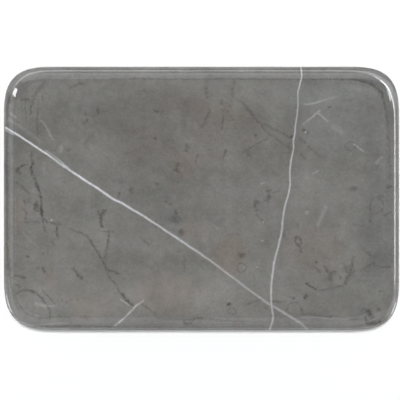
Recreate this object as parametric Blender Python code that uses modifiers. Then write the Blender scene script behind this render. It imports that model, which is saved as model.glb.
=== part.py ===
# A rectangular catchall tray, cut from one slab of marble and standing on four soft bumper feet.
# Metres, +Z up. X runs along the tray and Y across it. The origin is on the table, under the middle.

import math

import bmesh
import bpy

# The slab
tray_length = 0.3048
tray_width = 0.2032
floor_thickness = 0.0145
recess_depth = 0.0045
bottom_edge_radius = 0.0015

# The rim, from its rounded outer edge over the crest and down to the floor
top_edge_radius = 0.0036
crest_width = 0.0004
crest_radius = 0.0006
inner_slope_angle = math.radians(45)
floor_fillet_radius = 0.0008

# The corners are superellipse quarters, which ease into the straight sides, and they tighten
# from the outer edge to the floor. A fullness of 2 is a plain arc, and more pushes them out.
corner_reach = 0.0425
corner_tightening = 0.0062
corner_fullness = 3.25

# The feet, which taper towards the table, and the round tapes that hold them
foot_radius = 0.00635
foot_taper = 0.0009
foot_height = 0.0030
foot_edge_radius = 0.0006
foot_inset = 0.0340
tape_thickness = 0.0008
tape_margin = 0.0008
seat_gap = 0.0003

# Facets, and where smooth shading and welding stop
corner_steps = 20
bottom_edge_steps = 3
top_edge_steps = 8
crest_steps = 4
fillet_steps = 5
foot_edge_steps = 3
foot_sides = 28
sharp_angle = math.radians(35)
weld_distance = 0.00001

# Finishes: linear colour and roughness
marble_look = ((0.191, 0.187, 0.174, 1.0), 0.08)
bumper_look = ((0.62, 0.63, 0.62, 1.0), 0.3)
foam_look = ((0.75, 0.75, 0.73, 1.0), 0.8)

# Sizes that follow from the ones above
slab_height = floor_thickness + recess_depth
bend_drop = (crest_radius + floor_fillet_radius) * (1 - math.cos(inner_slope_angle))
bend_run = (crest_radius + floor_fillet_radius) * math.sin(inner_slope_angle)
slope_run = (recess_depth - bend_drop) / math.tan(inner_slope_angle)
crest_start = top_edge_radius + crest_width
rim_width = crest_start + bend_run + slope_run

tape_radius = foot_radius - tape_margin
tape_height = foot_height + seat_gap
slab_base = tape_height + tape_thickness + seat_gap


def clear_scene():
    for old in list(bpy.data.objects):
        bpy.data.objects.remove(old, do_unlink=True)


def plain_material(name, look):
    color, roughness = look
    material = bpy.data.materials.new(name)
    material.use_nodes = True
    shader = material.node_tree.nodes["Principled BSDF"]
    shader.inputs["Base Color"].default_value = color
    shader.inputs["Roughness"].default_value = roughness
    shader.inputs["Metallic"].default_value = 0.0
    return material


def turns(steps, sweep=math.pi / 2):
    # The angles of a bend, its two ends among them
    return [sweep * step / steps for step in range(steps + 1)]


def rim_profile():
    # (inset from the tray's outline, height over the slab's underside), from the underside
    # up the outer wall, over the rim and down to the floor
    profile = []
    for turn in turns(bottom_edge_steps):
        inset = bottom_edge_radius * (1 - math.sin(turn))
        profile.append((inset, bottom_edge_radius * (1 - math.cos(turn))))
    for turn in turns(top_edge_steps):
        inset = top_edge_radius * (1 - math.cos(turn))
        profile.append((inset, slab_height - top_edge_radius * (1 - math.sin(turn))))
    for turn in turns(crest_steps, inner_slope_angle):
        inset = crest_start + crest_radius * math.sin(turn)
        profile.append((inset, slab_height - crest_radius * (1 - math.cos(turn))))
    for turn in reversed(turns(fillet_steps, inner_slope_angle)):
        inset = rim_width - floor_fillet_radius * math.sin(turn)
        profile.append((inset, floor_thickness + floor_fillet_radius * (1 - math.cos(turn))))
    return profile


def corner_curve():
    # A superellipse quarter in shares of its reach, from the end wall round to the long wall
    power = 2 / corner_fullness
    curve = []
    for turn in turns(corner_steps):
        curve.append((abs(math.cos(turn)) ** power, abs(math.sin(turn)) ** power))
    return curve


def outline_points(inset, height):
    # One level outline, anticlockwise: a curve in each corner, joined by straight sides
    reach = corner_reach - corner_tightening * inset / rim_width
    side_x = tray_length / 2 - inset - reach
    side_y = tray_width / 2 - inset - reach
    curve = corner_curve()
    points = []
    for toward_x, toward_y in ((1, 1), (-1, 1), (-1, -1), (1, -1)):
        quarter = curve if toward_x == toward_y else reversed(curve)
        for along_x, along_y in quarter:
            x = toward_x * (side_x + reach * along_x)
            y = toward_y * (side_y + reach * along_y)
            points.append((x, y, height))
    return points


def finish_mesh(form, name, material):
    mesh = bpy.data.meshes.new(name)
    form.to_mesh(mesh)
    form.free()
    mesh.materials.append(material)
    return mesh


def loft_slab(sections, material):
    # Joins each closed section to the next one and closes both ends
    form = bmesh.new()
    rings = [[form.verts.new(point) for point in section] for section in sections]
    for lower, upper in zip(rings, rings[1:]):
        for here in range(len(lower)):
            after = (here + 1) % len(lower)
            form.faces.new((lower[here], lower[after], upper[after], upper[here]))
    form.faces.new(reversed(rings[0]))
    form.faces.new(rings[-1])
    mesh = finish_mesh(form, "tray_body", material)
    mesh.shade_smooth()
    mesh.set_sharp_from_angle(angle=sharp_angle)
    return mesh


def foot_profile():
    # Top to bottom down the outer side: a tapered puck with its table edge rounded
    table_radius = foot_radius - foot_taper
    profile = [(0.0, foot_height), (foot_radius, foot_height)]
    for turn in turns(foot_edge_steps):
        radius = table_radius - foot_edge_radius * (1 - math.cos(turn))
        profile.append((radius, foot_edge_radius * (1 - math.sin(turn))))
    profile.append((0.0, 0.0))
    return profile


def foot_outline(material):
    # The profile as a line, which each foot's Screw modifier turns about the foot's axis
    form = bmesh.new()
    points = [form.verts.new((radius, 0.0, height)) for radius, height in foot_profile()]
    for start, end in zip(points, points[1:]):
        form.edges.new((start, end))
    return finish_mesh(form, "foot", material)


def round_tape(material):
    form = bmesh.new()
    bmesh.ops.create_cone(
        form,
        cap_ends=True,
        segments=foot_sides,
        radius1=tape_radius,
        radius2=tape_radius,
        depth=tape_thickness,
    )
    bmesh.ops.translate(form, verts=form.verts, vec=(0.0, 0.0, tape_thickness / 2))
    return finish_mesh(form, "foot_tape", material)


def place(name, mesh, location, root):
    item = bpy.data.objects.new(name, mesh)
    item.location = location
    item.parent = root
    root.users_collection[0].objects.link(item)
    return item


def turn_about_axis(item):
    screw = item.modifiers.new("turned", "SCREW")
    screw.axis = "Z"
    screw.steps = foot_sides
    screw.render_steps = foot_sides
    screw.use_merge_vertices = True
    screw.merge_threshold = weld_distance
    screw.use_smooth_shade = True


def build_tray():
    clear_scene()
    collection = bpy.data.collections.new("catchall_tray")
    bpy.context.scene.collection.children.link(collection)
    root = bpy.data.objects.new("catchall_tray", None)
    collection.objects.link(root)

    sections = [outline_points(inset, height) for inset, height in rim_profile()]
    slab = loft_slab(sections, plain_material("polished_marble", marble_look))
    place("tray_body", slab, (0.0, 0.0, slab_base), root)

    foot = foot_outline(plain_material("clear_bumper", bumper_look))
    tape = round_tape(plain_material("foam_tape", foam_look))
    foot_x = tray_length / 2 - foot_inset
    foot_y = tray_width / 2 - foot_inset
    for across, y in (("front", -foot_y), ("back", foot_y)):
        for along, x in (("left", -foot_x), ("right", foot_x)):
            corner = across + "_" + along
            standing = place("foot_" + corner, foot, (x, y, 0.0), root)
            turn_about_axis(standing)
            place("foot_tape_" + corner, tape, (x, y, tape_height), root)


build_tray()
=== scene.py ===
import math

import bmesh
import bpy
from mathutils import Matrix, Vector


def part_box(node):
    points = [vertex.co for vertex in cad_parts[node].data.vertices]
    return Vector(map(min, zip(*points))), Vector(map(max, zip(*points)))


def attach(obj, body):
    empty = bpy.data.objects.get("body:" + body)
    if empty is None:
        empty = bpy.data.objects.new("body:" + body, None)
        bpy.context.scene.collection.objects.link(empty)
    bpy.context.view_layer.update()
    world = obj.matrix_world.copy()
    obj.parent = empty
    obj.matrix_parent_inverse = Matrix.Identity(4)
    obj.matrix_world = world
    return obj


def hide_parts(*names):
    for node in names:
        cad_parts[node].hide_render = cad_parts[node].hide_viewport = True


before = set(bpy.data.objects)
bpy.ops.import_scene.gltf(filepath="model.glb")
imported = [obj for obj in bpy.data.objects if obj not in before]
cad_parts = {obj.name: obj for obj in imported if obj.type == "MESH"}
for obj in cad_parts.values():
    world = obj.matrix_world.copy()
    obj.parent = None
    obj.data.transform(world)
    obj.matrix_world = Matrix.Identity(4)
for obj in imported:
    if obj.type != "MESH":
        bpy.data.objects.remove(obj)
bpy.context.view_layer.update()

slabLow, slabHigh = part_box("tray_body")
slabLength = slabHigh.x - slabLow.x
slabWidth = slabHigh.y - slabLow.y
slabHeight = slabHigh.z - slabLow.z

print("frame loaded: slab %.1f x %.1f x %.1f mm" % tuple(1000 * size for size in slabHigh - slabLow))


def addObject(name, data):
    item = bpy.data.objects.new(name, data)
    bpy.context.scene.collection.objects.link(item)
    return item


def meshObject(bm, name, material):
    mesh = bpy.data.meshes.new(name)
    bm.to_mesh(mesh)
    bm.free()
    mesh.materials.append(material)
    return addObject(name, mesh)


def keepPiece(bm, name, material, nodeName):
    # Every piece ends here: normals out, smooth shading, its material, and its place in the frame
    bmesh.ops.recalc_face_normals(bm, faces=bm.faces)
    piece = meshObject(bm, name, material)
    piece.data.shade_smooth()
    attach(piece, "root")
    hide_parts(nodeName)
    return piece


def turns(steps, sweep=math.pi / 2):
    # The angles of a bend, its two ends among them
    return [sweep * step / steps for step in range(steps + 1)]


# Materials are built from small node calls, so that a finish reads from top to bottom


def newMaterial(name):
    material = bpy.data.materials.new(name)
    material.use_nodes = True
    tree = material.node_tree
    return material, tree, tree.nodes["Principled BSDF"]


def plug(tree, socket, value):
    # A socket takes another node's output or a plain value
    if isinstance(value, bpy.types.NodeSocket):
        tree.links.new(value, socket)
    else:
        socket.default_value = value


def addNode(tree, kind, inputs=None, **settings):
    node = tree.nodes.new(kind)
    for name, value in settings.items():
        setattr(node, name, value)
    for name, value in (inputs or {}).items():
        plug(tree, node.inputs[name], value)
    return node


def maths(tree, operation, *values, clamp=False):
    node = addNode(tree, "ShaderNodeMath", operation=operation, use_clamp=clamp)
    for socket, value in zip(node.inputs, values):
        plug(tree, socket, value)
    return node.outputs[0]


def vectorMaths(tree, operation, *values):
    node = addNode(tree, "ShaderNodeVectorMath", operation=operation)
    for socket, value in zip(node.inputs, values):
        plug(tree, socket, value)
    return node.outputs["Vector"]


def noise(tree, point, size, detail=2.0, rough=0.5, colour=False):
    # size is the width of the largest blotches, in the point's own units
    node = addNode(
        tree,
        "ShaderNodeTexNoise",
        {"Vector": point, "Scale": 1 / size, "Detail": detail, "Roughness": rough},
    )
    return node.outputs["Color" if colour else "Fac"]


# Marble. Lengths in it are in millimetres, and places on the tray are measured from its middle

marble = {
    # Colours, in grey levels from 0 to 255
    "stone": (118.1, 117.2, 113.7),
    "whiteVein": (223, 224, 229),
    "darkVein": (64, 63, 60),
    "gloss": 3.0,  # levels that the room's reflection adds to the flat floor
    "gamma": 2.2,  # turns grey levels into light
    # How the marks lie in the stone
    "dip": (0.20, -0.12),  # how far a vein shifts sideways with depth below the floor
    "whiteWobble": ((6.0, 0.35), (2.2, 0.22)),  # how marks wander: size of the bends and how far
    "darkWobble": ((5.0, 0.7), (2.6, 1.1), (1.2, 0.5)),
    "wobbleDetail": 1.0,
    # Each family: its strength, its level in the middle of a mark, and the fall to the mark's edge
    "marks": {
        "whiteVeins": (1.0, 1.3, 1.44),
        "whiteThreadsAndRimHighlights": (0.5, 1.2, 1.25),
        "whiteSpots": (0.5, 1.3, 1.0),
        "cornerRimHighlights": (0.8, 1.3, 1.44),
        "darkVeinsAndRimShade": (0.61, 1.15, 1.08),
        "darkSpots": (0.54, 1.15, 0.75),
        "darkRings": (0.75, 1.0, 0.7),
    },
    "grain": (2.3, 3.0, 0.65),  # noise that breaks the marks up: size, detail and roughness
    "darkBreaks": (3.6, -0.8),  # what the grain is multiplied by, and what is added to it
    "whiteBreaks": (1.0, 0.5),
    # Clouds: size, detail and roughness of the noise, and how many levels they range over
    "blotches": ((48.0, 5.5, 0.82, 66.0), (1.9, 3.0, 0.75, 27.0)),
    "warmDrift": (10.0, 3.5, 0.78, 11.5),
    "greenDrift": (11.0, 3.5, 0.75, 7.0),
    "greenOffset": (300.0, 0.0, 0.0),  # so that the green clouds don't follow the warm ones
    "warm": (0.5, -0.15, -0.5),  # what one level of warmth does to red, green and blue
    "green": (-0.3, 0.6, -0.3),
    # The finish
    "roughness": 0.08,
    "polish": (6.0, 3.0, 0.6, 0.05),  # clouds of roughness
    "pitted": 0.12,  # how much rougher the dark marks are
    "ripple": (1.2, 0.03, 0.0001),  # size in mm, strength and depth of the polish's faint unevenness
    # The underside is honed, rougher and paler. The polish sets in between these heights over it.
    "sawn": (0.6, 2.1),
    "sawnRough": 0.37,
    "sawnPale": 10.0,
}

# Where the marks lie is noted as the photograph shows them, from above: in pixels, right and down
sheet = {
    "middle": (201.4, 198.2),  # the pixel over the middle of the tray
    "step": 0.7713,  # millimetres from one pixel to the next
}

# How a mark is drawn
drawing = {
    "curveRange": 2.6,  # how much a vein's curve spans, as a multiple of the vein's largest stray
    "leastStray": 1.5,  # in millimetres, for the curve of a nearly straight vein
    "leastStep": 0.002,  # between two stops of a vein, as a share of its length
    "fade": (2.0, 0.12),  # length over which a vein's end fades, in millimetres and as a share at most
    "levelLine": 0.000001,  # a direction that rises less than this is level
    "patchEdge": 1.2,  # the squared distance at which a patch of tone has faded out
}

# Each vein: its route, its width, and its strength at even steps along the route
whiteVeins = [
    ([(5, 127), (10, 130), (20, 136), (30, 142.6), (40, 149.4), (50, 156), (58, 162), (67, 168.6)],
      1.7, (.82, .86, .82, .8, .6)),
    ([(5, 129.5), (10, 132.5), (15, 134.5)], 1.3, (.4, .35)),
    ([(44, 149.5), (52, 154.5), (58, 159), (64, 164), (70, 169)], 1.3, (.25, .35, .5)),
    ([(61, 163), (66, 167), (72, 171.6), (80, 176.6), (88, 182), (96, 187), (104, 192.4), (112, 198)],
      1.9, (.7, .82, .82, .82, .78)),
    ([(105, 193), (112, 198), (120, 202), (126, 205.2), (132, 209.2), (140, 213.6), (146, 217.6),
      (152, 221.4), (160, 226.6), (168, 232), (176, 237.2), (184, 242.6), (192, 247.8), (200, 253)],
      1.9, (.78, .72, .64, .57, .55, .52)),
    ([(193, 248.4), (200, 253), (204, 256), (209, 259.4), (216, 264.6), (223, 270), (230, 275.2),
      (237, 280.4), (244, 285.8), (251, 291), (258, 296), (266, 301.4)], 1.8, (.44, .39, .36, .34, .35)),
    ([(260, 297.2), (268, 303), (274, 306.4), (280, 310), (287, 314.4), (293, 318), (299, 321.6),
      (303, 325), (308, 329.5)], 2.0, (.3, .32, .36, .36, .25)),
    ([(300, 62), (301, 72), (301.5, 77), (300.4, 82), (299, 88), (298, 92.5), (298, 101), (297.5, 110),
      (296.4, 118), (295.4, 126), (294.8, 133), (293.4, 141)], 1.3, (.62, .58, .4, .4, .46, .52)),
    ([(294.4, 135), (293.4, 141), (293.6, 147), (292.4, 154), (291, 160.5), (290, 168), (290, 178),
      (289.8, 187), (288, 195), (286, 202), (284.2, 209), (283, 216)], 1.5, (.52, .52, .5, .52, .52)),
    ([(284.2, 210), (283.2, 216), (282.2, 224), (281.6, 231), (280.2, 238), (278.8, 244), (277.3, 250),
      (275.7, 256), (274.3, 262), (273.4, 268), (272.6, 274), (271.6, 281)], 1.8, (.45, .5, .48, .5, .5)),
    ([(272.6, 275), (271.6, 281), (271.2, 289), (271.1, 297), (271.6, 304), (272.2, 310), (273, 315.6),
      (272.4, 320.5), (271, 325), (269, 331)], 1.7, (.5, .5, .45, .42, .4)),
]

# Finer white threads, mostly short. The two pale lines along the front rim among them are painted
# highlights.
whiteThreadsAndRimHighlights = [
    ([(303, 103.6), (308, 104), (313, 103), (319, 101.4), (325, 99.6), (331, 98), (337, 96)],
      1.8, (.4, .5, .35, .2)),
    ([(302, 124.5), (307, 121), (312, 117), (317, 112.5), (321, 109.5)], 1.6, (.3, .5, .5)),
    ([(317, 112), (322, 116), (328, 121.5)], 1.5, (.45, .4)),
    ([(331, 125), (338, 129.5), (344, 133.5)], 4.5, (.18, .18)),
    ([(353, 143), (358, 147), (364, 152)], 1.4, (.5, .5)),
    ([(375, 164), (379, 160), (383, 155.5)], 2.6, (.2, .2)),
    ([(312, 173.5), (319, 170.5)], 1.6, (.3,)),
    ([(260, 184), (266, 182)], 1.6, (.3,)),
    ([(340, 84.5), (350, 87), (362, 89.6), (378, 94)], 5.0, (.12, .16, .12)),
    ([(40, 119.5), (45, 125), (48.4, 131), (51, 136.5), (54, 140)], 2.0, (.3, .35, .3)),
    ([(10, 112.5), (17, 118)], 1.6, (.35,)),
    ([(8, 119.5), (16, 123.5), (24, 129), (33, 135.5), (41, 143)], 2.4, (.28, .2, .16)),
    ([(114.5, 325.5), (119, 322)], 1.6, (.6,)),
    ([(118, 323), (124, 318), (129, 313), (132.5, 309.6), (136, 305.4), (140, 303), (144, 299.5)],
      1.6, (1.0, .6, .9, .65, .9, .5)),
    ([(119.5, 299), (125, 302), (130, 305.5)], 1.2, (.5, .5)),
    ([(34, 302.5), (40, 304.5), (48, 306)], 2.8, (.3, .35)),
    ([(46, 305.5), (52, 306), (58, 305)], 2.0, (.35, .3)),
    # Painted highlights along the front rim, at its left and at its right
    ([(22, 320.5), (30, 324), (41, 324.2), (54, 323.2), (70, 323)], 1.5, (.4, .45, .35, .25)),
    ([(300, 317.2), (315, 317), (331, 318.2), (350, 319.4)], 1.4, (.3, .3, .25)),
    ([(327, 204), (324, 211), (320.5, 219), (317, 227)], 3.2, (.22, .3, .25)),
    ([(345, 218), (342, 230), (340, 241)], 5.0, (.14, .14)),
    ([(213, 224), (219, 230)], 2.0, (.22,)),
    ([(22, 232), (30, 240), (40, 248)], 1.4, (.18, .15)),
    ([(89, 142), (93, 151)], 2.0, (.14,)),
]

# Dark veins, roughly from left to right, and then dark lines that follow the rim, along the foot of its
# slope and along its crest
darkVeinsAndRimShade = [
    ([(52, 74), (47, 79), (41, 86), (36, 93), (33, 99), (31.5, 106)], 3.0, (.22, .35, .4, .4)),
    ([(26, 98), (25, 106), (26, 115), (27, 123)], 1.2, (.3, .35, .25)),
    ([(38.5, 98), (38, 110), (37, 122), (38, 136)], 1.6, (.25, .4, .35, .3)),
    ([(33, 98), (31, 106), (30, 115)], 1.6, (.4, .55, .5)),
    ([(22, 95), (21, 104), (23, 113)], 1.1, (.25, .3)),
    ([(21, 99.5), (25, 99), (30, 99.5)], 2.2, (.5, .45)),
    ([(42, 96), (43, 101)], 1.8, (.35,)),
    ([(33, 150), (31.5, 157), (33, 163), (31, 168), (32, 173), (35, 179), (36.5, 184), (39, 189),
      (40.5, 195), (41, 201)], 1.9, (.5, .75, .9, .6, .7, .95, .9)),
    ([(28, 164.5), (23, 165), (19, 168)], 1.7, (.4, .6, .8)),
    ([(19, 167), (17.5, 170), (18.5, 173)], 2.8, (.85, .9)),
    ([(17, 172.5), (20, 173.5), (22, 172.5)], 1.6, (.7, .5)),
    ([(14, 181), (20, 185), (25, 189), (30, 195)], 1.5, (.35, .3, .4)),
    ([(41, 200), (41, 206), (41.5, 212), (42.5, 218)], 2.2, (.8, .9, .85)),
    ([(37, 200), (36, 206), (38, 212)], 2.6, (.5, .95, .7)),
    ([(34, 204), (35, 211)], 1.6, (.6,)),
    ([(42, 216), (45, 220), (49, 223)], 1.4, (.7, .5)),
    ([(42, 219), (44, 226), (46.5, 233)], 1.5, (.65, .5)),
    ([(23, 222), (30, 221.5), (40, 222.5)], 1.1, (.4, .35)),
    ([(23, 208), (26, 213), (25.5, 219)], 1.4, (.4, .45)),
    ([(24, 199), (26, 206)], 1.5, (.45,)),
    ([(29, 196), (28, 203)], 1.2, (.35,)),
    ([(49, 222.5), (55, 223), (61, 225)], 1.3, (.5, .5)),
    ([(57, 225), (57, 231), (58, 238)], 1.6, (.6, .65)),
    ([(6, 158), (6, 168), (6.5, 176)], 2.4, (.3, .75, .4)),
    # Painted shade: these two draw a dark line down the left rim's outer rounding, which faces away from
    # the light
    ([(9, 92), (8, 110), (7.6, 140), (7.6, 170), (7.8, 200)], 2.0, (.35, .3, .35, .35)),
    ([(7.8, 200), (8, 225), (8.6, 248), (10, 268), (12, 287), (14.5, 299)],
      2.0, (.35, .35, .45, .6, .45)),
    ([(10, 97), (10, 103)], 4.0, (.65,)),
    ([(13, 98), (16, 99)], 2.0, (.3,)),
    ([(14, 275), (20, 276), (26, 278)], 1.9, (.4, .6)),
    ([(15, 284), (21, 287)], 1.6, (.45,)),
    ([(15, 294), (20, 291), (26, 289.8), (32, 291), (37, 294), (42, 298.5), (46, 304)],
      1.8, (.45, .65, .6, .45, .5)),
    ([(46, 304), (49, 309), (50, 315)], 1.6, (.45, .4)),
    ([(41, 288), (45, 293), (50, 298), (54, 303), (58, 306)], 1.5, (.4, .35, .35)),
    # This one runs along the foot of the slope in the front left corner
    ([(21, 299), (21.5, 307), (26, 313), (33, 316), (42, 317.5), (55, 317), (68, 316)],
      1.3, (.3, .3, .35, .4, .3)),
    ([(42, 266), (44, 273)], 2.2, (.5,)),
    ([(52, 240), (53, 246)], 1.6, (.35,)),
    ([(73, 266), (75, 271), (78, 275), (83, 279)], 2.0, (.55, .7, .6)),
    ([(69, 87.5), (76, 85), (84, 82.5)], 1.6, (.35, .45)),
    ([(94, 131), (88, 139), (84, 145)], 1.8, (.2, .2)),
    ([(153, 109.5), (158, 111), (164, 111)], 2.2, (.6, .45)),
    ([(154, 183), (159, 184.5)], 1.6, (.6,)),
    ([(119, 192), (119, 198)], 1.8, (.55,)),
    ([(185, 98), (185, 108), (184, 120), (185, 128)], 4.0, (.18, .28, .22)),
    ([(187.5, 142), (187, 147), (186, 152)], 3.2, (.4, .5)),
    ([(178.5, 162), (177, 167), (176, 172)], 4.0, (.55, .6)),
    ([(105, 208.5), (103, 213), (101, 217)], 2.2, (.7, .85)),
    ([(98, 211), (101, 216)], 1.8, (.6,)),
    ([(101, 214), (101, 221), (102, 228)], 2.2, (.8, .8)),
    ([(97, 230.5), (105, 231.5), (114, 231.5)], 1.3, (.4, .45)),
    ([(109, 231), (108, 240), (107, 250), (103, 259)], 1.9, (.55, .5, .3)),
    ([(68, 228), (78, 232), (85, 234)], 1.6, (.3, .45)),
    ([(85, 234), (89, 238.5), (93, 245), (97, 252), (101, 258), (104, 264), (107, 271)],
      1.9, (.5, .6, .55, .65, .5)),
    ([(106, 270.5), (112, 271), (119, 273.5)], 1.9, (.65, .6)),
    ([(107, 272), (110, 278), (114, 282), (118, 289), (122, 294.5)], 1.6, (.4, .45, .5)),
    ([(121, 293), (125, 297.5), (129, 302), (134, 306)], 2.3, (.8, .85, .5)),
    ([(140, 303.5), (146, 307), (152, 311), (156, 316)], 1.7, (.4, .45, .35)),
    ([(156, 317), (170, 319), (187, 319), (203, 318.5)], 1.7, (.35, .35, .6)),
    ([(183, 320.5), (187, 323.5), (192, 321)], 2.2, (.8, .6)),
    ([(143, 240), (150, 245)], 1.6, (.35,)),
    ([(175.5, 209), (176.5, 215)], 2.0, (.55,)),
    ([(180, 229), (181, 236)], 3.6, (.55,)),
    ([(184, 252), (185, 262), (184, 272)], 1.8, (.2, .2)),
    ([(198, 154), (196, 159), (194, 164)], 1.4, (.4, .35)),
    ([(209, 78), (206, 85), (206, 91), (207, 98)], 2.4, (.3, .55, .4)),
    ([(208.5, 107), (209, 113), (206, 119), (203, 124), (200, 128.5)], 1.9, (.5, .45, .4)),
    ([(221.5, 98), (222, 105)], 2.4, (.6,)),
    ([(235, 80), (232.5, 89), (233, 98)], 1.7, (.4, .5)),
    ([(222, 108), (223.5, 114), (223, 121), (221.5, 131)], 1.6, (.4, .6, .45)),
    ([(236, 99.5), (242, 102), (246, 106.5)], 1.6, (.4, .5)),
    ([(245, 106), (250, 111), (254, 116)], 2.4, (.8, .75)),
    ([(254, 116), (260, 122), (266, 125), (272, 128), (279, 131), (286, 135), (292, 138)],
      2.0, (.5, .35, .4, .35, .4)),
    ([(262, 123), (264, 129), (270, 134), (277, 139), (284, 144), (291, 149)], 1.8, (.35, .3, .35, .3)),
    ([(226.5, 149), (223, 158)], 2.0, (.5,)),
    ([(253, 146), (248, 152), (249, 157)], 2.2, (.45, .4)),
    ([(243, 152), (249, 149), (256, 144.5), (262, 141), (269, 138)], 1.5, (.35, .4, .35)),
    ([(298, 136), (303, 141), (308, 146), (314, 151), (321, 157)], 1.9, (.4, .3, .3)),
    ([(300, 153), (306, 160)], 1.6, (.3,)),
    ([(266, 202), (270, 194)], 2.4, (.55,)),
    ([(254.5, 208), (257, 200)], 3.2, (.5,)),
    ([(256, 214), (263, 222)], 1.8, (.3,)),
    ([(285, 229), (284, 238)], 2.0, (.4,)),
    ([(298, 243), (300, 247), (301.5, 252)], 2.2, (.6, .5)),
    ([(311, 264), (316, 268), (321, 273)], 1.6, (.35, .4)),
    ([(323, 265), (326, 269), (329, 273)], 2.2, (.5, .45)),
    ([(334, 270), (331, 275), (330, 281)], 3.0, (.55, .5)),
    ([(305.5, 282.5), (310, 286), (316, 290)], 2.0, (.8, .7)),
    ([(316, 290), (322, 290.5), (329, 289), (336, 287), (344, 286)], 1.5, (.45, .35, .4)),
    ([(344, 285), (347, 279), (350, 272), (352, 264), (353.5, 255)], 2.6, (.5, .6, .5, .4)),
    ([(343, 262), (348, 272)], 1.8, (.35,)),
    ([(360, 271), (366, 267), (372, 263.5), (376, 262)], 1.7, (.4, .45)),
    ([(372, 264), (381, 267), (390, 266)], 1.6, (.35, .4)),
    ([(360, 246), (365, 250), (371, 255)], 2.0, (.4, .5)),
    ([(374, 197), (371, 203), (370, 210)], 1.6, (.45, .5)),
    ([(370, 209), (373, 214), (379, 212)], 1.5, (.4, .4)),
    ([(374, 197), (379, 197.5), (382, 201)], 1.5, (.35, .4)),
    ([(383, 201), (383, 208), (379, 212)], 1.4, (.4, .35)),
    ([(384, 216), (391, 211.5)], 1.6, (.45,)),
    ([(372, 214), (369, 222)], 1.7, (.5,)),
    ([(352, 224), (365, 225.5)], 1.3, (.25,)),
    ([(361, 312), (364, 309), (367, 309)], 2.0, (.55, .5)),
    ([(367, 310), (370, 314), (373, 318)], 3.6, (.9, .85)),
    ([(365, 315), (366, 320), (369, 323.5)], 2.6, (.75, .8)),
    ([(368, 323), (374, 322.5), (381, 321)], 2.6, (.85, .7)),
    ([(304, 299), (307, 295)], 2.4, (.65,)),
    ([(301, 306), (302, 313)], 2.0, (.55,)),
    ([(271, 300.5), (279, 301.5), (287, 301)], 1.6, (.45, .4)),
    ([(287, 309), (290, 303), (296, 302), (301, 305)], 1.6, (.35, .4, .35)),
    ([(289, 296), (295, 299)], 1.6, (.4,)),
    ([(300, 314), (312, 314.5), (326, 317), (340, 319), (363, 318.5)], 1.4, (.3, .4, .35, .35)),
    ([(200, 318), (228, 320.5), (262, 321.5), (290, 322)], 1.4, (.3, .25, .25)),
    ([(226.5, 305), (231, 303)], 2.2, (.75,)),
    ([(246, 304.5), (254, 302), (263, 299)], 1.3, (.3, .35)),
    ([(343, 101), (351, 99.5), (358, 97)], 2.0, (.25, .2)),
    ([(353, 186), (354, 191)], 5.0, (.45,)),
    ([(266, 189), (270, 193)], 2.6, (.4,)),
    ([(271, 193), (280, 190)], 1.6, (.3,)),
    ([(376, 197), (384, 196)], 2.4, (.35,)),
    ([(375, 167), (380, 165)], 1.6, (.25,)),
    ([(108, 78.8), (125, 78.2), (150, 78.5), (178, 78.6), (200, 78.6)], 1.3, (.3, .7, .4, .35, .45)),
    ([(200, 78.6), (240, 78.6), (280, 78.8), (320, 79), (348, 79.2)], 1.3, (.5, .55, .4, .5, .6)),
    ([(348, 79.2), (359, 80.2), (368, 82.6), (376, 87.4)], 1.5, (.5, .6, .6)),
    ([(374, 86), (376, 87.4), (381, 92), (384, 100), (386, 113), (387.6, 129)], 1.5, (.6, .5, .35, .25)),
    ([(387.6, 129), (389, 150), (390, 180)], 1.2, (.3, .25)),
    ([(168, 71.5), (185, 71), (210, 71), (242, 71.3)], 1.5, (.3, .6, .5, .4)),
    ([(242, 71.3), (262, 71.5), (296, 71.6)], 1.2, (.3, .2)),
    ([(30, 326.4), (50, 326), (75, 325.4), (112, 326)], 1.4, (.4, .45, .35, .3)),
]

# Spots and rings: middle, width and height, turn in degrees, and strength

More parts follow.
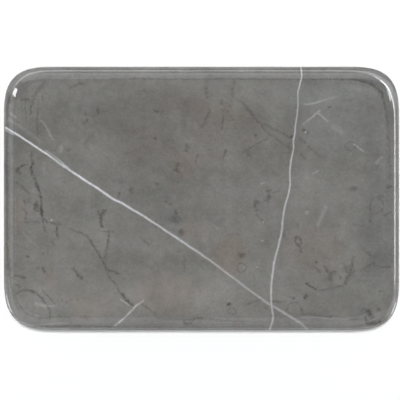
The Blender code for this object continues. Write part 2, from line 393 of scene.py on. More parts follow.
darkSpots = [
    ((98, 110.5), (4.5, 8.5), 0, .45), ((87, 120), (3.2, 3.2), 0, .6), ((85, 114.5), (3, 3), 0, .4),
    ((84, 123), (3, 3), 0, .4), ((93, 116), (3, 3), 0, .3), ((80, 109), (3, 2.5), 0, .3),
    ((31, 112.5), (3, 3.5), 0, .6), ((155, 138), (4, 3), 0, .6), ((108.5, 134), (2.6, 3.4), 0, .45),
    ((68, 149), (5, 4), 0, .35), ((131, 190), (5.5, 7), 0, .45), ((122, 181), (9, 5.5), 0, .25),
    ((153, 168), (3.5, 3), 0, .3), ((107, 157), (4, 4), 0, .25), ((63, 191), (2.4, 2.4), 0, .4),
    ((125, 107), (4.5, 2.5), 0, .25), ((36.5, 205.5), (5, 7.5), 0, .9),
    ((27.5, 256.5), (4.5, 2.6), 0, .65), ((43, 253.5), (2.6, 3), 0, .4), ((38, 268), (3, 3), 0, .35),
    ((50, 317), (3.4, 3.4), 0, .7), ((58, 316), (2.6, 3.6), 0, .4), ((165.5, 202), (3.2, 2.8), 0, .55),
    ((170, 204), (2.8, 2.6), 0, .45), ((175.5, 219.5), (13, 8.5), 0, .5),
    ((181, 234.5), (3.6, 4), 0, .65), ((62, 300), (2.4, 3), 0, .35), ((66.5, 302), (2.4, 3), 0, .35),
    ((72, 299.5), (3, 2.4), 0, .3), ((77, 299.5), (3, 2.4), 0, .3), ((83, 317), (10, 4), 0, .25),
    ((206, 93), (4, 6), 0, .5), ((211, 76), (4, 3), 0, .45), ((226, 103), (2.6, 3), 0, .45),
    ((229.5, 106), (2.4, 2.6), 0, .45), ((228, 111.5), (2.6, 3), 0, .45),
    ((231, 116), (2.4, 2.6), 0, .45), ((227, 118.5), (2.4, 2.6), 0, .4),
    ((233, 119.5), (3, 2.4), 0, .4), ((231, 101), (2.2, 2.2), 0, .35), ((225, 109), (2.2, 2.4), 0, .35),
    ((291.5, 136.5), (3.4, 2.8), 30, .9), ((255.5, 135), (3.2, 3), 0, .55),
    ((303.5, 129.5), (4, 3), 0, .75), ((307.5, 133), (3, 3), 0, .55),
    ((329.5, 106.5), (4.4, 3.4), 0, .7), ((353.8, 188.5), (6.5, 6), 0, .55),
    ((388.8, 186.5), (4, 4), 0, .65), ((268.5, 197.5), (4.5, 4), 0, .55), ((250, 154), (4, 3.4), 0, .4),
    ((241.5, 255), (9.5, 5), 0, .6), ((256, 209), (4.5, 5), 0, .45), ((316, 262), (3, 2.8), 0, .6),
    ((333, 272), (6, 4.4), 0, .5), ((340, 277), (2.4, 2.4), 0, .4), ((389.5, 266.3), (3, 2.8), 0, .75),
    ((370, 313.5), (5.5, 6.5), -20, .85), ((379, 309), (3.4, 3.6), 0, .6),
    ((380, 290.5), (4, 2.6), 0, .4), ((331, 316.8), (3.4, 3), 0, .75), ((287, 309.5), (3, 3), 0, .45),
    ((294, 297), (3, 3), 0, .45), ((266, 307.5), (3, 2.6), 0, .45), ((201.5, 318), (4.5, 2.6), 0, .7),
    ((298, 225), (3.6, 5), 0, .35), ((237, 235), (3, 3), 0, .25), ((270, 190), (5, 3), 0, .35),
    ((308.5, 209), (2.4, 2.2), 0, .45), ((12, 152), (3, 5), 0, .3), ((16, 122), (5, 3), 0, .3),
    ((140, 158), (3, 3), 0, .25), ((145, 90), (3, 4), 0, .25), ((210, 150), (5, 3), 0, .25),
    ((204, 147), (4, 2.6), 0, .3), ((242, 97), (3, 3), 0, .3), ((77, 75), (7, 4), 0, .3),
]

darkRings = [
    ((350, 146), (11, 8.5), 0, .32), ((241.5, 267.5), (8.5, 9.5), 0, .4),
    ((298.5, 241.5), (6, 9), 10, .6), ((350, 270), (9, 9), 0, .4), ((232, 311), (9, 6), 0, .35),
    ((176.5, 176), (11, 12), 0, .25), ((228, 112), (9, 18), 0, .22), ((148, 241), (8, 5), 0, .25),
]

# Painted highlights round the rim's corners: pale bands on the outer rounding, standing in for its
# reflection of the room
cornerRimHighlights = [
    ([(4.6, 122), (6, 104), (10, 91), (17, 80.5), (28, 73), (42, 69.6), (62, 68)],
      4.0, (.12, .2, .24, .2, .12)),
    ([(340, 68), (360, 69.6), (374, 73.5), (386, 82), (393, 92), (396.6, 106), (397.6, 124)],
      4.0, (.12, .2, .26, .26, .16)),
    ([(5.4, 280), (8, 296), (13, 307), (21, 318), (33, 325), (48, 328), (70, 328.6)],
      4.0, (.1, .16, .2, .2, .12)),
    ([(398, 282), (396, 297), (392, 308), (386, 317)], 5.0, (.12, .25, .2)),
]

whiteSpots = [
    ((61, 149), (4.5, 9), 0, .2), ((44, 168), (4, 14), 0, .14), ((305.5, 132), (2.6, 2.6), 0, .55),
    ((51.5, 220), (3.4, 3), 0, .5), ((262.5, 240.5), (3, 2.6), 0, .35), ((307, 212.5), (6, 5), 0, .22),
    ((263, 222), (2.4, 2.4), 0, .3), ((205, 240), (7, 6), 0, .1), ((213, 258), (3, 3), 0, .15),
    ((257, 267), (3, 2.4), 0, .25),
]

# Broad changes of tone: middle, width and height, turn in degrees, grey levels, and levels of
# warmth. The last three run along the rim and are painted light: a painted highlight along the back and
# the left outer edges, and painted shade along the front outer edge.
tonePatchesAndEdgeLight = [
    ((191, 136), (220, 104), -8, -6.0, 3.0),
    ((227, 113), (78, 44), 0, -3.0, 2.0),
    ((182, 97), (91, 34), 0, -3.0, 1.0),
    ((344, 118), (130, 91), 0, 2.5, -1.5),
    ((318, 95), (156, 31), 0, 4.0, -1.0),
    ((43, 284), (130, 78), 15, 7.0, 0.5),
    ((149, 292), (194, 57), 0, 5.5, 1.5),
    ((48, 313), (117, 39), 0, 5.0, 0.0),
    ((253, 302), (117, 39), 0, 5.0, 0.5),
    ((378, 218), (39, 168), 0, -4.0, -1.5),
    ((20, 121), (52, 78), 0, -2.0, 0.0),
    ((85, 186), (117, 78), 0, 1.5, 0.0),
    ((331, 199), (117, 91), 0, 1.5, 0.0),
    ((184, 165), (31, 39), 0, 2.5, 4.0),
    ((194, 230), (34, 28), 0, 2.5, 4.5),
    ((165, 295), (78, 57), 0, 2.0, 4.0),
    ((315, 250), (78, 70), 10, 1.0, 4.0),
    ((20, 213), (18, 44), 0, 1.0, 5.0),
    ((51, 276), (18, 54), 0, 1.0, 4.5),
    ((87, 308), (54, 31), 0, 2.0, 4.0),
    ((229, 254), (47, 54), 0, -3.5, 7.0),
    ((175, 218), (21, 16), 0, -4.0, -3.5),
    ((13, 136), (12, 29), 10, -2.0, -3.0),
    ((182, 232), (5, 7), 0, -8.0, 10.0),
    ((120, 230), (84, 58), 0, 8.0, 0.0),
    ((237, 176), (54, 52), 0, 7.0, 0.0),
    ((24, 296), (76, 64), 0, 9.0, 0.0),
    ((130, 302), (240, 50), 0, 5.0, 0.0),
    ((120, 118), (62, 42), 0, -4.0, 0.0),
    ((250, 116), (52, 42), 0, -3.0, 0.0),
    ((292, 240), (62, 62), 0, -5.0, 0.0),
    ((369, 242), (38, 62), 0, -6.0, 0.0),
    ((194, 288), (72, 52), 0, 4.0, 0.0),
    ((84, 134), (42, 32), 0, -4.0, 0.0),
    ((170, 110), (72, 40), 0, -4.0, 0.0),
    ((225, 196), (62, 32), 0, 5.0, 0.0),
    ((102, 242), (32, 36), 0, 6.0, 0.0),
    ((182, 246), (32, 32), 0, 5.0, 0.0),
    ((28, 247), (28, 36), 0, 6.0, 0.0),
    ((244, 280), (58, 52), 0, 5.0, 0.0),
    ((376, 143), (28, 42), 0, -4.0, 0.0),
    ((374, 272), (30, 42), 0, -4.0, 0.0),
    ((76, 165), (42, 32), 0, -4.0, 0.0),
    ((108, 92), (42, 24), 0, 5.0, 0.0),
    # Painted highlight along the back outer edge
    ((201, 66), (420, 7), 0, 22.0, -1.0),
    # Painted shade along the front outer edge
    ((201, 331), (420, 7), 0, -20.0, 0.0),
    # Painted highlight along the left outer edge
    ((3, 199), (6, 290), 0, 14.0, -1.0),
]


def floatCurve(tree, value, points):
    # A curve through points that run from 0 to 1
    node = addNode(tree, "ShaderNodeFloatCurve", {"Value": value})
    curve = node.mapping.curves[0]
    node.mapping.extend = "HORIZONTAL"
    while len(curve.points) < len(points):
        curve.points.new(0.5, 0.5)
    for spot, place in zip(curve.points, points):
        spot.location = place
    node.mapping.update()
    return node.outputs[0]


def onTray(spot):
    # A place on the photograph, as millimetres from the middle of the tray
    middle = sheet["middle"]
    return Vector(((spot[0] - middle[0]) * sheet["step"], (middle[1] - spot[1]) * sheet["step"]))


def across(tree, point, direction, origin, size):
    # How far along a direction the point lies from an origin, as a share of size
    x, y = point
    share = maths(tree, "MULTIPLY_ADD", x, direction.x / size, -direction.dot(origin) / size)
    if abs(direction.y) < drawing["levelLine"]:
        return share
    return maths(tree, "MULTIPLY_ADD", y, direction.y / size, share)


def veinCover(tree, point, level, fall, route, width, strengths):
    # One curve holds how far the vein strays from its chord, and the distance to it is painted. A
    # second one holds how strong the vein is.
    stops = [onTray(spot) for spot in route]
    start, end = stops[0], stops[-1]
    length = (end - start).length
    chord = (end - start) / length
    normal = Vector((-chord.y, chord.x))
    stray = [(stop - start).dot(normal) for stop in stops]
    shares = [(stop - start).dot(chord) / length for stop in stops]
    if any(later - earlier < drawing["leastStep"] for earlier, later in zip(shares, shares[1:])):
        raise ValueError("a vein turns back on itself, near %s" % (route[0],))
    reach = drawing["curveRange"] * max(drawing["leastStray"], max(abs(away) for away in stray))
    along = across(tree, point, chord, start, length)
    centre = floatCurve(tree, along, [(share, 0.5 + away / reach) for share, away in zip(shares, stray)])
    fadeLength, fadeShare = drawing["fade"]
    taper = min(fadeShare, fadeLength / length)
    strong = [(0.0, 0.0), (taper, strengths[0])]
    for step, amount in enumerate(strengths, 1):
        share = step / (len(strengths) + 1)
        if taper < share < 1 - taper:
            strong.append((share, amount))
    strong += [(1 - taper, strengths[-1]), (1.0, 0.0)]
    strength = floatCurve(tree, along, strong)
    side = across(tree, point, normal, start - normal * reach / 2, reach)
    away = maths(tree, "ABSOLUTE", maths(tree, "SUBTRACT", side, centre))
    core = maths(tree, "MULTIPLY_ADD", away, -fall * reach / (width * sheet["step"]), level)
    return maths(tree, "MULTIPLY", maths(tree, "MINIMUM", core, 1.0), strength)


def squaredDistance(tree, point, middle, size, turn):
    # 0 in the middle of an ellipse and 1 at its edge
    heading = Vector((math.cos(math.radians(turn)), math.sin(math.radians(turn))))
    u = across(tree, point, heading, onTray(middle), sheet["step"] * size[0] / 2)
    v = across(tree, point, Vector((-heading.y, heading.x)), onTray(middle), sheet["step"] * size[1] / 2)
    return maths(tree, "MULTIPLY_ADD", v, v, maths(tree, "MULTIPLY", u, u))


def spotCover(tree, point, level, fall, middle, size, turn, strength):
    away = squaredDistance(tree, point, middle, size, turn)
    return maths(tree, "MULTIPLY_ADD", away, -strength * fall, strength * level)


def ringCover(tree, point, level, fall, middle, size, turn, strength):
    away = maths(tree, "SUBTRACT", squaredDistance(tree, point, middle, size, turn), 1.0)
    return maths(tree, "MULTIPLY_ADD", maths(tree, "ABSOLUTE", away), -fall, strength * level)


def patchCover(tree, point, middle, size, turn):
    node = addNode(
        tree,
        "ShaderNodeMapRange",
        {
            "Value": squaredDistance(tree, point, middle, size, turn),
            "From Min": drawing["patchEdge"],
            "From Max": 0.0,
        },
        interpolation_type="SMOOTHSTEP",
    )
    return node.outputs[0]


def strongest(tree, covers):
    # Each cover is folded in as soon as it is made, so that few values wait in the shader
    total = 0.0
    for cover in covers:
        total = maths(tree, "MAXIMUM", total, cover)
    return total


def patternGroup(name, outputs):
    # A node group that takes a place on the tray, in millimetres
    group = bpy.data.node_groups.new(name, "ShaderNodeTree")
    for axis in "XY":
        group.interface.new_socket(axis, in_out="INPUT", socket_type="NodeSocketFloat")
    for output in outputs:
        group.interface.new_socket(output, in_out="OUTPUT", socket_type="NodeSocketFloat")
    place = group.nodes.new("NodeGroupInput")
    return group, (place.outputs["X"], place.outputs["Y"]), group.nodes.new("NodeGroupOutput")


def paintedCover(tree, point, name, paint, items):
    # One family of marks, in a group of its own
    strength, level, fall = marble["marks"][name]
    group, place, result = patternGroup(name, ["Cover"])
    covers = (paint(group, place, level, fall, *item) for item in items)
    plug(group, result.inputs["Cover"], strongest(group, covers))
    node = addNode(tree, "ShaderNodeGroup", {"X": point[0], "Y": point[1]}, node_tree=group)
    return maths(tree, "MULTIPLY", node.outputs["Cover"], strength)


def paintedTone(tree, point):
    # The stone's tone, with painted highlights and painted shade along the outer edges
    group, place, result = patternGroup("stoneToneAndEdgeLight", ["Tone", "Warmth"])
    tone = warmth = 0.0
    for middle, size, turn, levels, warm in tonePatchesAndEdgeLight:
        cover = patchCover(group, place, middle, size, turn)
        tone = maths(group, "MULTIPLY_ADD", cover, levels, tone)
        if warm:
            warmth = maths(group, "MULTIPLY_ADD", cover, warm, warmth)
    plug(group, result.inputs["Tone"], tone)
    plug(group, result.inputs["Warmth"], warmth)
    node = addNode(tree, "ShaderNodeGroup", {"X": point[0], "Y": point[1]}, node_tree=group)
    return node.outputs["Tone"], node.outputs["Warmth"]


def scaled(tree, vector, factor):
    node = addNode(tree, "ShaderNodeVectorMath", {0: vector, "Scale": factor}, operation="SCALE")
    return node.outputs[0]


def drift(tree, solid, size, detail, rough, levels):
    # Cloudy changes about zero, in grey levels
    return maths(tree, "MULTIPLY_ADD", noise(tree, solid, size, detail, rough), levels, -levels / 2)


def wandered(tree, solid, flat, wobble):
    # The place on the tray, pushed about by noise
    point = flat
    for bend, sway in wobble:
        cloud = noise(tree, solid, bend, marble["wobbleDetail"], colour=True)
        push = addNode(tree, "ShaderNodeSeparateXYZ", {"Vector": cloud})
        pushed = []
        for axis, value in zip("XY", point):
            moved = maths(tree, "MULTIPLY_ADD", push.outputs[axis], 2 * sway, -sway)
            pushed.append(maths(tree, "ADD", moved, value))
        point = pushed
    return point


def makeMarble():
    material, tree, shader = newMaterial("polishedMarble")
    place = addNode(tree, "ShaderNodeTexCoord").outputs["Object"]
    solid = vectorMaths(tree, "MULTIPLY", place, (1000.0, 1000.0, 1000.0))
    split = addNode(tree, "ShaderNodeSeparateXYZ", {"Vector": solid})
    lift = maths(tree, "SUBTRACT", split.outputs["Z"], 1000 * (slabHigh.z - traySlab["recess"]))
    depth = maths(tree, "MINIMUM", lift, 0.0)
    flat = []
    for axis, dip in zip("XY", marble["dip"]):
        flat.append(maths(tree, "MULTIPLY_ADD", depth, dip, split.outputs[axis]))
    whitePoint = wandered(tree, solid, flat, marble["whiteWobble"])
    darkPoint = wandered(tree, solid, flat, marble["darkWobble"])

    # Tone and warmth, in grey levels
    tone, warmth = paintedTone(tree, flat)
    for blotch in marble["blotches"]:
        tone = maths(tree, "ADD", tone, drift(tree, solid, *blotch))
    warmth = maths(tree, "ADD", warmth, drift(tree, solid, *marble["warmDrift"]))
    elsewhere = vectorMaths(tree, "ADD", solid, marble["greenOffset"])
    green = drift(tree, elsewhere, *marble["greenDrift"])
    honed, polished = marble["sawn"]
    above = maths(tree, "SUBTRACT", split.outputs["Z"], 1000 * slabLow.z)
    rise = polished - honed
    sawn = maths(tree, "MULTIPLY_ADD", above, -1 / rise, polished / rise, clamp=True)
    tone = maths(tree, "MULTIPLY_ADD", sawn, marble["sawnPale"], tone)
    base = vectorMaths(tree, "SUBTRACT", marble["stone"], (marble["gloss"],) * 3)
    lit = vectorMaths(tree, "ADD", base, scaled(tree, (1.0, 1.0, 1.0), tone))
    warmed = vectorMaths(tree, "ADD", lit, scaled(tree, marble["warm"], warmth))
    levels = vectorMaths(tree, "ADD", warmed, scaled(tree, marble["green"], green))

    # The marks lie over that
    dark = strongest(tree, (
        paintedCover(tree, darkPoint, "darkVeinsAndRimShade", veinCover, darkVeinsAndRimShade),
        paintedCover(tree, darkPoint, "darkSpots", spotCover, darkSpots),
        paintedCover(tree, darkPoint, "darkRings", ringCover, darkRings),
    ))
    # White veins, threads and spots, with painted highlights along the rim
    white = strongest(tree, (
        paintedCover(tree, whitePoint, "whiteVeins", veinCover, whiteVeins),
        paintedCover(tree, whitePoint, "whiteThreadsAndRimHighlights", veinCover, whiteThreadsAndRimHighlights),
        paintedCover(tree, whitePoint, "whiteSpots", spotCover, whiteSpots),
        paintedCover(tree, flat, "cornerRimHighlights", veinCover, cornerRimHighlights),
    ))
    grain = noise(tree, solid, *marble["grain"])
    darkBreaks = maths(tree, "MULTIPLY_ADD", grain, *marble["darkBreaks"])
    dark = maths(tree, "MULTIPLY", dark, darkBreaks, clamp=True)
    whiteBreaks = maths(tree, "MULTIPLY_ADD", grain, *marble["whiteBreaks"])
    white = maths(tree, "MULTIPLY", white, whiteBreaks, clamp=True)
    for cover, target in ((dark, marble["darkVein"]), (white, marble["whiteVein"])):
        change = vectorMaths(tree, "SUBTRACT", target, levels)
        levels = vectorMaths(tree, "ADD", levels, scaled(tree, change, cover))
    shares = scaled(tree, levels, 1 / 255)
    colour = addNode(tree, "ShaderNodeGamma", {"Color": shares, "Gamma": marble["gamma"]})
    plug(tree, shader.inputs["Base Color"], colour.outputs["Color"])

    # The finish
    polish = maths(tree, "ADD", drift(tree, solid, *marble["polish"]), marble["roughness"])
    pitted = maths(tree, "MULTIPLY_ADD", dark, marble["pitted"], polish)
    rough = maths(tree, "MULTIPLY_ADD", sawn, marble["sawnRough"], pitted)
    plug(tree, shader.inputs["Roughness"], rough)
    rippleSize, rippleStrength, rippleDepth = marble["ripple"]
    ripple = addNode(
        tree,
        "ShaderNodeBump",
        {"Height": noise(tree, solid, rippleSize), "Strength": rippleStrength, "Distance": rippleDepth},
    )
    plug(tree, shader.inputs["Normal"], ripple.outputs["Normal"])
    return material


# The slab

traySlab = {
    "bottomEdge": (0.0015, 4),  # radius and segments of each rounded edge
    "topEdge": (0.0039, 12),
    "crestWidth": 0.0002,
    "slopeTilt": (math.radians(46.5), math.radians(33.5), 9),  # at the crest, at the floor, segments
    "easing": (0.0002, 3),  # how softly the slope meets the crest and the floor
    "recess": 0.0045,
    "recessShift": -0.0008,  # the rim is ground by hand, and the recess sits a little to the left
    # The reach of each corner's curve at the outline, at the crest and at the floor
    "reach": {
        (-1, 1): (0.0420, 0.0435, 0.0395),
        (1, 1): (0.0420, 0.0470, 0.0420),
        (-1, -1): (0.0451, 0.0440, 0.0395),
        (1, -1): (0.0417, 0.0445, 0.0395),
    },
    "fullness": 3.25,  # the corners' superellipse power
    "cornerSteps": 36,
    "flatBand": 0.0006,  # a band round each flat, which keeps the flat's shading even
    "flatWeight": 80,
}


def rimStations():
    # Insets from the outline and heights over the underside, from there over the rim to the floor
    bottomRadius, bottomSteps = traySlab["bottomEdge"]
    topRadius, topSteps = traySlab["topEdge"]
    easing, easingSteps = traySlab["easing"]
    steep, shallow, slopeSteps = traySlab["slopeTilt"]
    floorHeight = slabHeight - traySlab["recess"]
    stations = []
    for turn in turns(bottomSteps):
        inset = bottomRadius * (1 - math.sin(turn))
        stations.append((inset, bottomRadius * (1 - math.cos(turn))))
    for turn in turns(topSteps):
        inset = topRadius * (1 - math.cos(turn))
        stations.append((inset, slabHeight - topRadius * (1 - math.sin(turn))))
    for turn in turns(easingSteps, steep):
        inset = topRadius + traySlab["crestWidth"] + easing * math.sin(turn)
        stations.append((inset, slabHeight - easing * (1 - math.cos(turn))))

    # The slope's height falls in equal steps, and its tilt eases towards the floor
    inset, height = stations[-1]
    fall = (height - floorHeight - easing * (1 - math.cos(shallow))) / slopeSteps
    for step in range(slopeSteps):
        tilt = steep + (shallow - steep) * (step + 0.5) / slopeSteps
        inset += fall / math.tan(tilt)
        height -= fall
        stations.append((inset, height))
    floorStart = inset + easing * math.sin(shallow)
    for turn in reversed(turns(easingSteps, shallow)[:-1]):
        inset = floorStart - easing * math.sin(turn)
        stations.append((inset, floorHeight + easing * (1 - math.cos(turn))))
    return stations, floorStart


def cornerAt(side, inset, floorStart):
    # The middle that one corner's curve grows from at an inset, and the curve's reach
    outlineReach, crestReach, floorReach = traySlab["reach"][side]
    crest = traySlab["topEdge"][0]
    rise = min(1.0, inset / crest)
    fall = max(0.0, inset - crest) / (floorStart - crest)
    reach = outlineReach + (crestReach - outlineReach) * rise + (floorReach - crestReach) * fall
    shift = traySlab["recessShift"] * fall
    x = side[0] * (slabLength / 2 - inset - reach) + shift
    y = side[1] * (slabWidth / 2 - inset - reach)
    return Vector((x, y, 0.0)), reach


def makeSlab(material):
    stations, floorStart = rimStations()
    inset, height = stations[0]
    bm = bmesh.new()
    placed = Matrix.Translation((0.0, 0.0, slabLow.z)) @ Matrix.Diagonal(
        (slabLength / 2 - inset, slabWidth / 2 - inset, 1.0, 1.0)
    )
    square = bmesh.ops.create_grid(bm, x_segments=1, y_segments=1, size=1.0, matrix=placed)
    for corner in square["verts"]:
        side = (math.copysign(1, corner.co.x), math.copysign(1, corner.co.y))
        bmesh.ops.bevel(
            bm,
            geom=[corner],
            affect="VERTICES",
            offset=cornerAt(side, inset, floorStart)[1],
            offset_type="OFFSET",
            segments=traySlab["cornerSteps"],
            profile=0.5 ** (2 / traySlab["fullness"]),  # this profile gives that superellipse
            material=-1,
        )
    top = list(bm.faces)[0]

    # The outline is drawn up from station to station, and each corner's curve is scaled on its way
    for level, (nextInset, nextHeight) in enumerate(stations[1:]):
        drawn = bmesh.ops.extrude_face_region(bm, geom=[top])
        if level:  # the first face stays, as the underside
            bmesh.ops.delete(bm, geom=[top], context="FACES_ONLY")
        top = next(item for item in drawn["geom"] if isinstance(item, bmesh.types.BMFace))
        for side in traySlab["reach"]:
            oldMiddle, oldReach = cornerAt(side, inset, floorStart)
            newMiddle, newReach = cornerAt(side, nextInset, floorStart)
            quarter = []
            for vert in top.verts:
                if vert.co.x * side[0] > 0 and vert.co.y * side[1] > 0:
                    quarter.append(vert)
            grow = (newReach / oldReach, newReach / oldReach, 1.0)
            bmesh.ops.scale(bm, verts=quarter, vec=grow, space=Matrix.Translation(-oldMiddle))
            lift = newMiddle - oldMiddle + Vector((0.0, 0.0, nextHeight - height))
            bmesh.ops.translate(bm, verts=quarter, vec=lift)
        inset, height = nextInset, nextHeight

    flats = [face for face in bm.faces if len(face.verts) > 4]
    bmesh.ops.inset_region(bm, faces=flats, thickness=traySlab["flatBand"])
    piece = keepPiece(bm, "marbleSlab", material, "tray_body")
    piece.modifiers.new("flatBands", "WEIGHTED_NORMAL").weight = traySlab["flatWeight"]
    return piece


slab = makeSlab(makeMarble())
print("slab made: %d faces" % len(slab.data.polygons))


# Feet and tapes

bumper = {
    "taper": 0.0009,
    "edge": (0.0006, 5),  # radius and segments of the rounded edge at the table
    "chamfer": 0.0003,  # of the edge at the top
    "ring": (0.0030, 0.0002, 0.0002),  # radius, depth and half width of a moulded groove under the foot
    "sides": 64,  # of the tapes too
    "weld": 0.00001,
    "milk": ((0.66, 0.67, 0.66, 1.0), (0.56, 0.57, 0.56, 1.0)),
    "cloud": (0.004, 3.0),  # size and detail of the milky clouds
    "roughness": 0.28,
    "transmission": 0.45,
    "refraction": 1.49,
}

foamTape = {
    "waist": 0.0001,  # how far the cut edge is drawn in at mid height
    "foam": ((0.62, 0.62, 0.60, 1.0), (0.80, 0.80, 0.78, 1.0)),
    "cells": 4000.0,  # to the metre
    "roughness": 0.85,
}


def mixed(tree, factor, colours):
    inputs = {"Factor": factor, 6: colours[0], 7: colours[1]}
    return addNode(tree, "ShaderNodeMix", inputs, data_type="RGBA").outputs[2]


def makeBumperMaterial():
    material, tree, shader = newMaterial("clearBumper")
    place = addNode(tree, "ShaderNodeTexCoord").outputs["Object"]
    cloud = noise(tree, place, *bumper["cloud"])
    plug(tree, shader.inputs["Base Color"], mixed(tree, cloud, bumper["milk"]))
    plug(tree, shader.inputs["Roughness"], bumper["roughness"])
    plug(tree, shader.inputs["Transmission Weight"], bumper["transmission"])
    plug(tree, shader.inputs["IOR"], bumper["refraction"])
    return material


def makeFoamMaterial():
    material, tree, shader = newMaterial("foamTape")
    place = addNode(tree, "ShaderNodeTexCoord").outputs["Object"]
    cells = addNode(tree, "ShaderNodeTexVoronoi", {"Vector": place, "Scale": foamTape["cells"]})
    shade = mixed(tree, cells.outputs["Distance"], foamTape["foam"])
    plug(tree, shader.inputs["Base Color"], shade)
    plug(tree, shader.inputs["Roughness"], foamTape["roughness"])
    return material


def spinPiece(profile, middle):
    # Turns a chain of points about an upright axis. The profile starts and ends on the axis.
    bm = bmesh.new()
    spots = [bm.verts.new((radius, 0.0, height)) for radius, height in profile]
    chain = [bm.edges.new(pair) for pair in zip(spots, spots[1:])]
    bmesh.ops.spin(
        bm,
        geom=spots + chain,
        cent=(0.0, 0.0, 0.0),
        axis=(0.0, 0.0, 1.0),
        angle=2 * math.pi,
        steps=bumper["sides"],
        use_merge=True,
    )
    bmesh.ops.remove_doubles(bm, verts=bm.verts, dist=bumper["weld"])
    bmesh.ops.translate(bm, verts=bm.verts, vec=middle)
    return bm


def roundSolid(nodeName):
    # Radius, height and the bottom of the axis of a round solid of the CAD
    low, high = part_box(nodeName)
    middle = ((low.x + high.x) / 2, (low.y + high.y) / 2, low.z)
    return (high.x - low.x) / 2, high.z - low.z, middle


def makeFoot(corner, material):
    radius, height, middle = roundSolid("foot_" + corner)
    chamfer = bumper["chamfer"]
    edge, edgeSteps = bumper["edge"]
    ring, ringDepth, ringHalf = bumper["ring"]
    tableRadius = radius - bumper["taper"]
    profile = [(0.0, height), (radius - chamfer, height), (radius, height - chamfer)]
    for turn in turns(edgeSteps):
        profile.append((tableRadius - edge * (1 - math.cos(turn)), edge * (1 - math.sin(turn))))
    profile += [(ring + ringHalf, 0.0), (ring, ringDepth), (ring - ringHalf, 0.0), (0.0, 0.0)]
    bm = spinPiece(profile, middle)
    keepPiece(bm, "bumper_" + corner, material, "foot_" + corner)


def makeTape(corner, material):
    radius, height, middle = roundSolid("foot_tape_" + corner)
    waist = (radius - foamTape["waist"], height / 2)
    profile = [(0.0, height), (radius, height), waist, (radius, 0.0), (0.0, 0.0)]
    bm = spinPiece(profile, middle)
    keepPiece(bm, "tape_" + corner, material, "foot_tape_" + corner)


bumperMaterial = makeBumperMaterial()
foamMaterial = makeFoamMaterial()
for corner in ("front_left", "front_right", "back_left", "back_right"):
    makeFoot(corner, bumperMaterial)
    makeTape(corner, foamMaterial)
print("feet and tapes made")


# The floor, the camera and the light

studio = {
    "floorSize": 3.0,  # from its middle to each side
    "floorGap": 0.0001,  # keeps the floor just clear of the feet
    "floorColour": (0.8, 0.8, 0.8, 1.0),
    "floorRoughness": 0.9,
    "floorGlow": 0.2,  # what the camera sees added to the lit floor, so that it is white
    "coolLight": (0.97, 0.99, 1.03),
    "skyLevel": 0.2,
    "horizonLevel": 1.7,  # of a pale band round the horizon
    "horizonLean": (0.1, -0.33),  # brighter to the right and towards the front
    "horizonDip": 0.62,  # and dimmer both ways across the tray than along it
    "horizonRise": (0.16, 0.34),  # the heights of a direction between which the band fades
    "cameraOffset": (-0.0011, -0.0012),
    "outlineLevel": 0.0194,  # the height of the tray's outline as it is seen from above
    "cameraDistance": 1.1998,  # over that
    "lens": 140,
    "clip": (0.01, 20),
}

# Each softbox: middle, width along the ground and height in metres, how bright its face is, and
# whether it lights the stone or is a card that only shows in its polish
softboxes = {
    "key": ((0.0, 0.4, 3.0), (0.3, 0.3), 250.0, "lights"),
    "back": ((0.0, 0.53, 1.19), (1.1, 0.6), 4.8, "shows"),
    "front": ((0.0, -1.48, 0.5), (2.2, 0.55), 1.7, "shows"),
    "lowBack": ((0.0, 1.2, 0.6), (2.4, 0.75), 0.8, "shows"),
    "right": ((0.46, 0.09, 1.2), (0.46, 0.24), 18.0, "shows"),
    "rightWall": ((0.85, 0.1, 1.05), (1.2, 0.6), 2.2, "shows"),
    "corner": ((1.16, -0.66, 0.15), (0.6, 0.2), 6.0, "shows"),
    "farCorner": ((-0.87, -0.70, 0.13), (1.0, 0.16), 5.0, "shows"),
    "glint": ((1.66, -0.79, 0.54), (0.46, 0.4), 18.0, "shows"),
    "farGlint": ((-1.70, -0.70, 0.62), (0.66, 0.36), 18.0, "shows"),
}


def makeFloor():
    bm = bmesh.new()
    lowered = Matrix.Translation((0.0, 0.0, -studio["floorGap"]))
    bmesh.ops.create_grid(bm, x_segments=1, y_segments=1, size=studio["floorSize"], matrix=lowered)
    material, tree, shader = newMaterial("paleTable")
    plug(tree, shader.inputs["Base Color"], studio["floorColour"])
    plug(tree, shader.inputs["Roughness"], studio["floorRoughness"])
    plug(tree, shader.inputs["Specular IOR Level"], 0.0)
    path = addNode(tree, "ShaderNodeLightPath")
    rays = ("Is Camera Ray", "Is Glossy Ray", "Is Transmission Ray")
    seen = strongest(tree, (path.outputs[name] for name in rays))
    plug(tree, shader.inputs["Emission Color"], (1.0, 1.0, 1.0, 1.0))
    glow = maths(tree, "MULTIPLY", seen, studio["floorGlow"])
    plug(tree, shader.inputs["Emission Strength"], glow)
    floor = meshObject(bm, "tableTop", material)


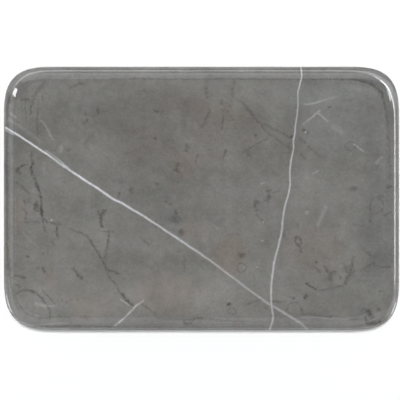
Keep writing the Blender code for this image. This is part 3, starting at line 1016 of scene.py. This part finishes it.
def makeWorld():
    # Dim above, with a pale band round the horizon, which the tray's inner slopes mirror
    world = bpy.data.worlds.new("studio")
    bpy.context.scene.world = world
    world.use_nodes = True
    tree = world.node_tree
    direction = addNode(tree, "ShaderNodeTexCoord").outputs["Generated"]
    split = addNode(tree, "ShaderNodeSeparateXYZ", {"Vector": direction})
    leanX, leanY = studio["horizonLean"]
    band = maths(tree, "MULTIPLY_ADD", split.outputs["X"], leanX, studio["horizonLevel"])
    band = maths(tree, "MULTIPLY_ADD", split.outputs["Y"], leanY, band)
    sideways = maths(tree, "ABSOLUTE", split.outputs["Y"])
    band = maths(tree, "MULTIPLY_ADD", sideways, -studio["horizonDip"], band)
    low, high = studio["horizonRise"]
    level = addNode(
        tree,
        "ShaderNodeMapRange",
        {
            "Value": split.outputs["Z"],
            "From Min": low,
            "From Max": high,
            "To Min": band,
            "To Max": studio["skyLevel"],
        },
        interpolation_type="SMOOTHSTEP",
    )
    backdrop = tree.nodes["Background"]
    plug(tree, backdrop.inputs["Strength"], level.outputs[0])
    plug(tree, backdrop.inputs["Color"], (*studio["coolLight"], 1.0))


def makeCamera():
    data = bpy.data.cameras.new("overhead")
    data.lens = studio["lens"]
    data.clip_start, data.clip_end = studio["clip"]
    camera = addObject("overhead", data)
    camera.location = (*studio["cameraOffset"], studio["outlineLevel"] + studio["cameraDistance"])
    bpy.context.scene.camera = camera


def addSoftbox(name, place, size, brightness, kind):
    data = bpy.data.lights.new(name, "AREA")
    data.shape = "RECTANGLE"
    data.size, data.size_y = size
    data.energy = brightness * math.pi * size[0] * size[1]
    if kind == "shows":
        data.color = studio["coolLight"]
    light = addObject(name, data)
    light.location = place
    aim = -Vector(place)
    light.rotation_euler = aim.to_track_quat("-Z", "Y").to_euler()
    light.visible_camera = False
    light.visible_diffuse = kind == "lights"
    light.visible_glossy = kind == "shows"


makeFloor()
makeWorld()
makeCamera()
for name, (place, size, brightness, kind) in softboxes.items():
    addSoftbox(name, place, size, brightness, kind)
bpy.context.scene.view_settings.view_transform = "Standard"
print("studio made")
